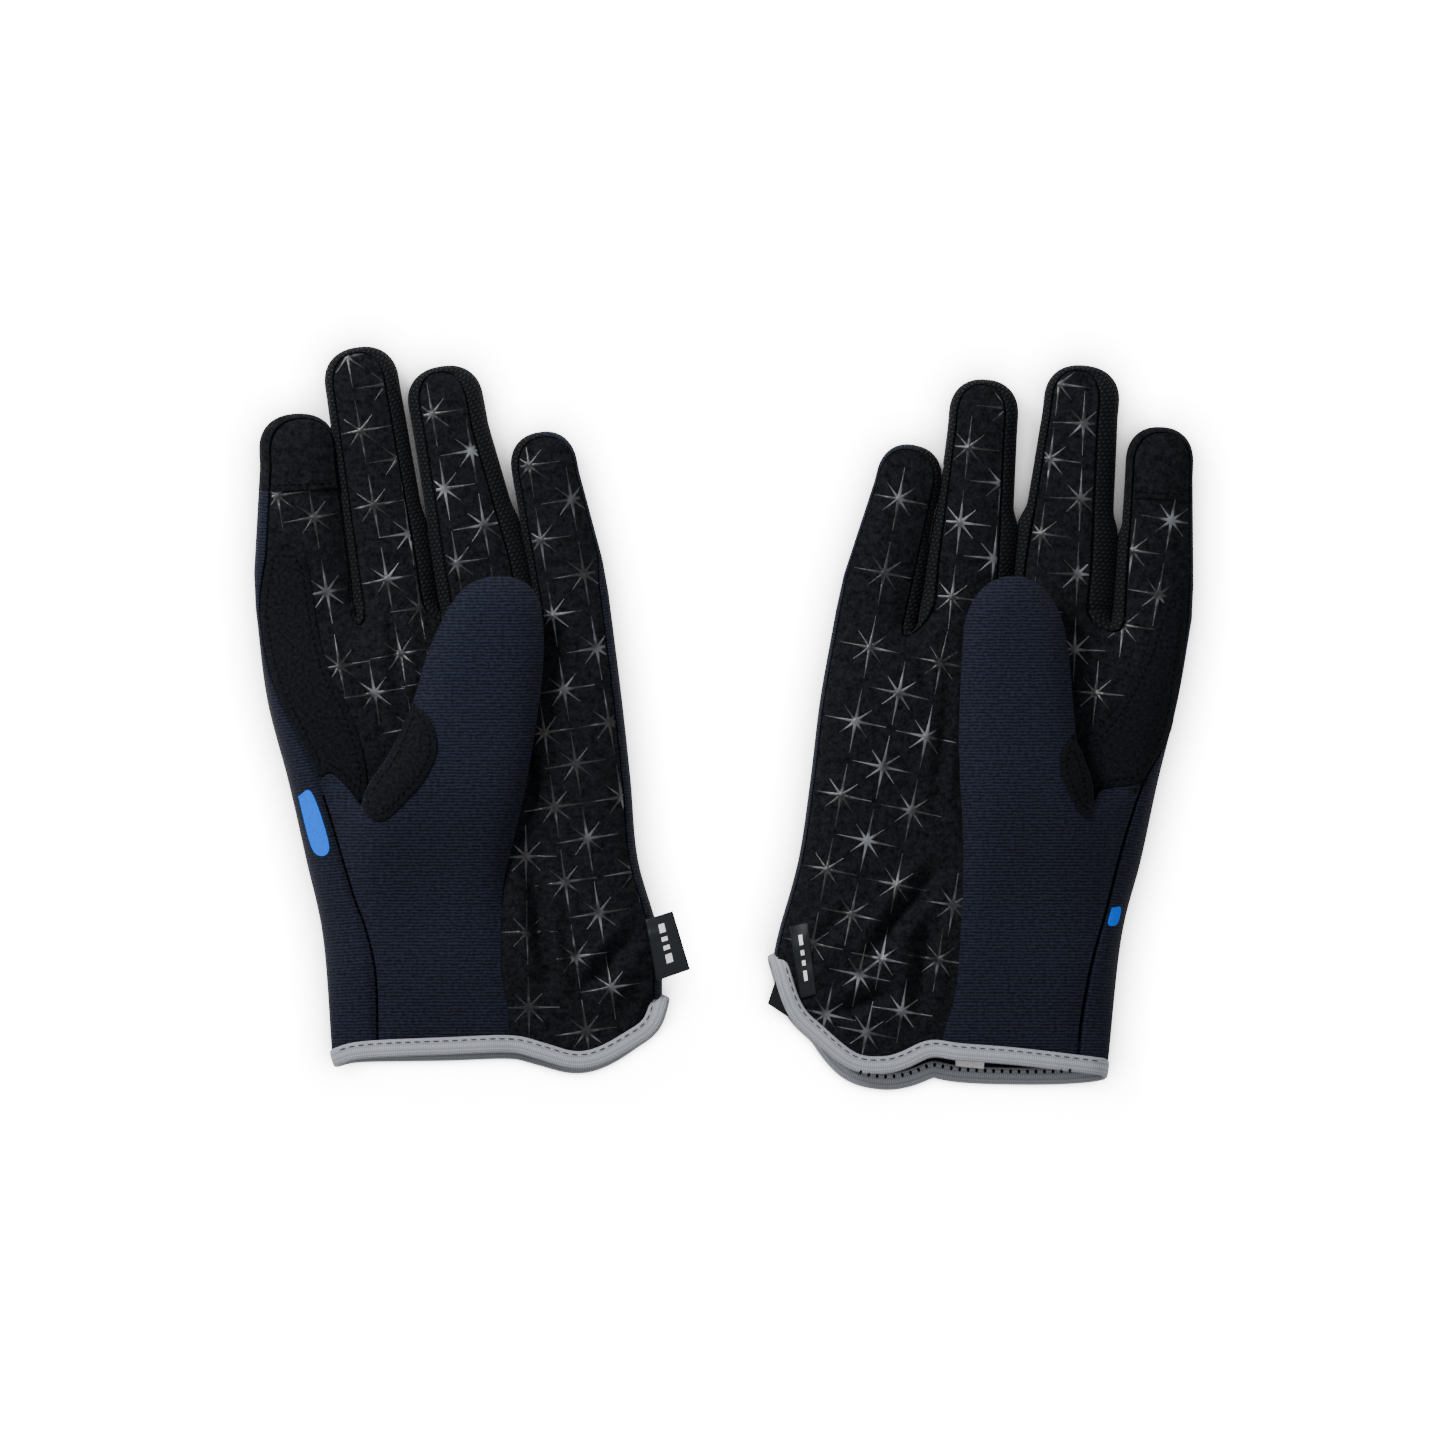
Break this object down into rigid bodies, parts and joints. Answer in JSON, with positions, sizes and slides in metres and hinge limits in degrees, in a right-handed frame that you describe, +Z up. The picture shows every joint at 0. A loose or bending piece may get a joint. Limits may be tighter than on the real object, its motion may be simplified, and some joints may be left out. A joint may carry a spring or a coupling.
{
  "type": "pair of sailing gloves",
  "caption": "Pair of full-finger sailing gloves lying palm up, with grip-printed suede palms, knit backs, folded thumbs and bound cuffs; fingers and thumbs bend.",
  "frame": {"origin": "middle of the pair's footprint, on the table", "axes": "+X across the pair, from the left glove to the right glove; +Y towards the fingertips; +Z up, out of the palms"},
  "size_m": [0.3096, 0.2395, 0.0348],
  "materials": {
    "suede": "matte synthetic suede with a rubbery star print",
    "knit": "knit-faced neoprene, matte",
    "twill": "diagonal stretch twill",
    "binding": "grey woven binding tape",
    "label": "woven satin label"
  },
  "bodies": {
    "left_hand": {"left_back_panel": "knit", "left_cuff_binding": "binding", "left_fourchette_little_ring": "twill", "left_fourchette_middle_index": "twill", "left_fourchette_ring_middle": "twill", "left_heel_panel": "knit", "left_index_side_patch": "suede", "left_palm_panel": "suede", "left_side_label": "label", "left_thumb_crotch_patch": "suede"},
    "left_index_base": {"left_index_back_base": "knit", "left_index_front_base": "suede"},
    "left_index_tip": {"left_index_back_tip": "knit", "left_index_front_tip": "suede", "left_index_tip_cap": "suede"},
    "left_little_base": {"left_little_back_base": "knit", "left_little_front_base": "suede"},
    "left_little_tip": {"left_little_back_tip": "knit", "left_little_front_tip": "suede"},
    "left_middle_base": {"left_middle_back_base": "knit", "left_middle_front_base": "suede"},
    "left_middle_tip": {"left_middle_back_tip": "knit", "left_middle_front_tip": "suede"},
    "left_ring_base": {"left_ring_back_base": "knit", "left_ring_front_base": "suede"},
    "left_ring_tip": {"left_ring_back_tip": "knit", "left_ring_front_tip": "suede"},
    "left_thumb_base": {"left_thumb_back": "knit", "left_thumb_front": "suede"},
    "left_thumb_tip": {"left_thumb_tip": "knit"},
    "right_hand": {"right_back_panel": "knit", "right_cuff_binding": "binding", "right_fourchette_little_ring": "twill", "right_fourchette_middle_index": "twill", "right_fourchette_ring_middle": "twill", "right_heel_panel": "knit", "right_index_side_patch": "suede", "right_palm_panel": "suede", "right_side_label": "label", "right_thumb_crotch_patch": "suede"},
    "right_index_base": {"right_index_back_base": "knit", "right_index_front_base": "suede"},
    "right_index_tip": {"right_index_back_tip": "knit", "right_index_front_tip": "suede", "right_index_tip_cap": "suede"},
    "right_little_base": {"right_little_back_base": "knit", "right_little_front_base": "suede"},
    "right_little_tip": {"right_little_back_tip": "knit", "right_little_front_tip": "suede"},
    "right_middle_base": {"right_middle_back_base": "knit", "right_middle_front_base": "suede"},
    "right_middle_tip": {"right_middle_back_tip": "knit", "right_middle_front_tip": "suede"},
    "right_ring_base": {"right_ring_back_base": "knit", "right_ring_front_base": "suede"},
    "right_ring_tip": {"right_ring_back_tip": "knit", "right_ring_front_tip": "suede"},
    "right_thumb_base": {"right_thumb_back": "knit", "right_thumb_front": "suede"},
    "right_thumb_tip": {"right_thumb_tip": "knit"}
  },
  "joints": [
    {"name": "left_index_root_bend", "type": "hinge", "parent": "left_hand", "child": "left_index_base", "pos_m": [-0.14051, 0.04579, 0.01611], "axis": [0.999, 0.0444, 0], "range_deg": [0, 80]},
    {"name": "left_index_tip_bend", "type": "hinge", "parent": "left_index_base", "child": "left_index_tip", "pos_m": [-0.14159, 0.07, 0.01522], "axis": [0.999, 0.0444, 0], "range_deg": [0, 90]},
    {"name": "left_middle_root_bend", "type": "hinge", "parent": "left_hand", "child": "left_middle_base", "pos_m": [-0.1097, 0.04767, 0.01621], "axis": [0.989, 0.1481, 0], "range_deg": [0, 80]},
    {"name": "left_middle_tip_bend", "type": "hinge", "parent": "left_middle_base", "child": "left_middle_tip", "pos_m": [-0.11473, 0.08124, 0.01528], "axis": [0.989, 0.1481, 0], "range_deg": [0, 90]},
    {"name": "left_ring_root_bend", "type": "hinge", "parent": "left_hand", "child": "left_ring_base", "pos_m": [-0.08136, 0.04761, 0.01619], "axis": [0.9839, 0.1788, 0], "range_deg": [0, 80]},
    {"name": "left_ring_tip_bend", "type": "hinge", "parent": "left_ring_base", "child": "left_ring_tip", "pos_m": [-0.08692, 0.07825, 0.01527], "axis": [0.9839, 0.1788, 0], "range_deg": [0, 90]},
    {"name": "left_little_root_bend", "type": "hinge", "parent": "left_hand", "child": "left_little_base", "pos_m": [-0.05233, 0.04762, 0.01605], "axis": [0.9842, 0.1768, 0], "range_deg": [0, 80]},
    {"name": "left_little_tip_bend", "type": "hinge", "parent": "left_little_base", "child": "left_little_tip", "pos_m": [-0.05603, 0.0682, 0.01519], "axis": [0.9842, 0.1768, 0], "range_deg": [0, 90]},
    {"name": "left_thumb_lift", "type": "hinge", "parent": "left_hand", "child": "left_thumb_base", "pos_m": [-0.0892, -0.0396, 0.0352], "axis": [0.9854, -0.1705, 0], "range_deg": [0, 75]},
    {"name": "left_thumb_tip_bend", "type": "hinge", "parent": "left_thumb_base", "child": "left_thumb_tip", "pos_m": [-0.08016, 0.01267, 0.0352], "axis": [0.9854, -0.1705, 0], "range_deg": [0, 40]},
    {"name": "right_index_root_bend", "type": "hinge", "parent": "right_hand", "child": "right_index_base", "pos_m": [0.14051, 0.04199, 0.01611], "axis": [0.999, -0.0441, 0], "range_deg": [0, 80]},
    {"name": "right_index_tip_bend", "type": "hinge", "parent": "right_index_base", "child": "right_index_tip", "pos_m": [0.14158, 0.06643, 0.01522], "axis": [0.999, -0.0441, 0], "range_deg": [0, 90]},
    {"name": "right_middle_root_bend", "type": "hinge", "parent": "right_hand", "child": "right_middle_base", "pos_m": [0.10997, 0.04774, 0.01619], "axis": [0.9948, -0.1014, 0], "range_deg": [0, 80]},
    {"name": "right_middle_tip_bend", "type": "hinge", "parent": "right_middle_base", "child": "right_middle_tip", "pos_m": [0.11313, 0.07879, 0.01527], "axis": [0.9948, -0.1014, 0], "range_deg": [0, 90]},
    {"name": "right_ring_root_bend", "type": "hinge", "parent": "right_hand", "child": "right_ring_base", "pos_m": [0.08104, 0.04777, 0.01616], "axis": [0.9973, -0.0728, 0], "range_deg": [0, 80]},
    {"name": "right_ring_tip_bend", "type": "hinge", "parent": "right_ring_base", "child": "right_ring_tip", "pos_m": [0.08314, 0.0765, 0.01525], "axis": [0.9973, -0.0728, 0], "range_deg": [0, 90]},
    {"name": "right_little_root_bend", "type": "hinge", "parent": "right_hand", "child": "right_little_base", "pos_m": [0.05148, 0.04173, 0.01607], "axis": [0.9765, -0.2157, 0], "range_deg": [0, 80]},
    {"name": "right_little_tip_bend", "type": "hinge", "parent": "right_little_base", "child": "right_little_tip", "pos_m": [0.05619, 0.06305, 0.0152], "axis": [0.9765, -0.2157, 0], "range_deg": [0, 90]},
    {"name": "right_thumb_lift", "type": "hinge", "parent": "right_hand", "child": "right_thumb_base", "pos_m": [0.0979, -0.0396, 0.0352], "axis": [0.9989, 0.0477, 0], "range_deg": [0, 75]},
    {"name": "right_thumb_tip_bend", "type": "hinge", "parent": "right_thumb_base", "child": "right_thumb_tip", "pos_m": [0.09543, 0.01224, 0.0352], "axis": [0.9989, 0.0477, 0], "range_deg": [0, 40]},
    {"name": "right_glove_slide", "type": "slide", "parent": "left_hand", "child": "right_hand", "axis": [1, 0, 0], "range_m": [0, 0.1]}
  ]
}
